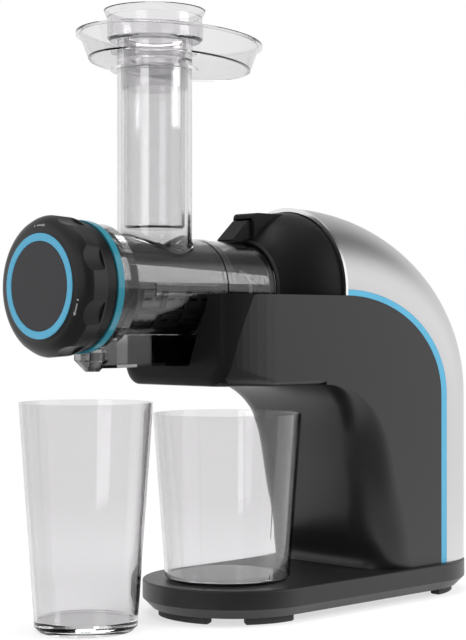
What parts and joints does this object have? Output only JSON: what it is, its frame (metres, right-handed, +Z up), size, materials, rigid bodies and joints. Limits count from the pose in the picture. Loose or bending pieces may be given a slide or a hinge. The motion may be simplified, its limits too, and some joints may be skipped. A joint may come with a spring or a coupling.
{
  "type": "cold press juicer",
  "caption": "Cold press juicer with a horizontal auger drum, feed tube with oval tray and pusher, arched motor base, juice tumbler and pulp container.",
  "frame": {"origin": "on the supporting surface, under the middle of the overall length and in the middle plane of the body", "axes": "+X from the cap to the rounded back, +Y to the side with the mains switch, +Z up"},
  "size_m": [0.413, 0.1385, 0.43],
  "materials": {
    "body_black": "satin soft-touch moulding",
    "base_black": "satin",
    "cradle_black": "fine matt grain",
    "cap_black": "satin",
    "cap_face": "smooth",
    "silver_cover": "fine brushed",
    "bright_trim": "polished edge",
    "accent_blue": "satin",
    "accent_teal": "gloss",
    "smoke_clear": "smoky transparent",
    "pale_clear": "clear",
    "vessel_clear": "clear",
    "auger_dark": "satin",
    "mesh_steel": "fine slotted sheet",
    "rubber_black": "matt",
    "seal_dark": "matt",
    "seal_grey": "silicone",
    "steel": "turned",
    "gearbox_alloy": "die cast",
    "gear_nylon": "natural nylon",
    "bush_bronze": "sintered",
    "magnet": "ferrite and laminated steel",
    "board_green": "laminate"
  },
  "bodies": {
    "housing": {"base_plate": "base_black", "base_bottom": "base_black", "base_screws": "steel", "rubber_feet": "rubber_black", "cord_gland": "rubber_black", "housing_right": "body_black", "housing_left": "body_black", "spine_cover": "silver_cover", "accent_strip_right": "accent_blue", "accent_strip_left": "accent_blue", "arch_trim": "bright_trim", "drum_cradle": "cradle_black", "housing_face": "cradle_black", "docking_seal": "seal_dark", "latch_pin": "steel", "latch_spring": "steel", "gearbox_case": "gearbox_alloy", "gearbox_cover": "gearbox_alloy", "gearbox_screws": "steel", "motor_plate": "gearbox_alloy", "motor_screws": "steel", "motor_can": "steel", "motor_end_cap": "cradle_black", "motor_bearings": "steel", "motor_magnets": "magnet", "countershaft_bushes": "bush_bronze", "output_bearing_front": "steel", "output_bearing_rear": "steel", "shaft_seal": "seal_dark", "control_board": "board_green", "board_standoffs": "gear_nylon", "switch_housing": "cradle_black", "interlock_switch": "cradle_black"},
    "latch": {"release_latch": "cradle_black"},
    "rocker": {"rocker_switch": "cap_black"},
    "rotor": {"rotor_core": "magnet", "rotor_shaft": "steel", "cooling_fan": "gear_nylon", "motor_pinion": "steel"},
    "counter": {"countershaft": "steel", "counter_gear": "gear_nylon", "counter_pinion": "steel"},
    "output": {"output_gear": "gear_nylon", "output_shaft": "steel"},
    "drum": {"drum_body": "smoke_clear", "front_ring": "accent_teal", "drum_seal": "seal_grey", "strainer_frame": "auger_dark", "strainer_mesh": "mesh_steel"},
    "auger": {"auger": "auger_dark", "auger_shaft": "steel"},
    "cap": {"cap_grip": "cap_black", "cap_disc": "cap_face", "cap_ring": "accent_blue", "cap_gasket": "seal_grey", "cap_bush": "auger_dark"},
    "tray": {"feed_tray": "pale_clear"},
    "pusher": {"pusher": "pale_clear"},
    "tumbler": {"juice_tumbler": "vessel_clear"},
    "container": {"pulp_container": "vessel_clear"}
  },
  "joints": [
    {"name": "rotor_spin", "type": "hinge", "parent": "housing", "child": "rotor", "pos_m": [0.0935, 0, 0.1439], "axis": [1, 0, 0], "continuous": true},
    {"name": "counter_spin", "type": "hinge", "parent": "housing", "child": "counter", "pos_m": [0.0535, 0, 0.1814], "axis": [1, 0, 0], "continuous": true},
    {"name": "output_spin", "type": "hinge", "parent": "housing", "child": "output", "pos_m": [0.0335, 0, 0.2354], "axis": [1, 0, 0], "continuous": true},
    {"name": "drum_pull", "type": "slide", "parent": "housing", "child": "drum", "axis": [-1, 0, 0], "range_m": [0, 0.13]},
    {"name": "auger_spin", "type": "hinge", "parent": "drum", "child": "auger", "pos_m": [-0.1065, 0, 0.2354], "axis": [1, 0, 0], "continuous": true},
    {"name": "cap_turn", "type": "hinge", "parent": "drum", "child": "cap", "pos_m": [-0.1865, 0, 0.2354], "axis": [-1, 0, 0], "range_deg": [0, 40]},
    {"name": "tray_lift", "type": "slide", "parent": "drum", "child": "tray", "axis": [0, 0, 1], "range_m": [0, 0.03]},
    {"name": "pusher_slide", "type": "slide", "parent": "tray", "child": "pusher", "axis": [0, 0, 1], "range_m": [0, 0.15]},
    {"name": "latch_lift", "type": "hinge", "parent": "housing", "child": "latch", "pos_m": [-0.0065, 0, 0.2805], "axis": [0, 1, 0], "range_deg": [0, 8], "stiffness_Nm_per_rad": 0.08, "springref_deg": -11.46},
    {"name": "rocker_tilt", "type": "hinge", "parent": "housing", "child": "rocker", "pos_m": [0.1095, 0.059, 0.066], "axis": [1, 0, 0], "range_deg": [-10, 10]},
    {"name": "tumbler_slide", "type": "slide", "parent": "housing", "child": "tumbler", "axis": [-1, 0, 0], "range_m": [0, 0.15]},
    {"name": "container_slide", "type": "slide", "parent": "housing", "child": "container", "axis": [0, -1, 0], "range_m": [0, 0.15]}
  ],
  "couplings": [
    {"joint": "counter_spin", "follows": "rotor_spin", "ratio": -0.25},
    {"joint": "output_spin", "follows": "rotor_spin", "ratio": 0.0625},
    {"joint": "auger_spin", "follows": "rotor_spin", "ratio": 0.0625}
  ]
}
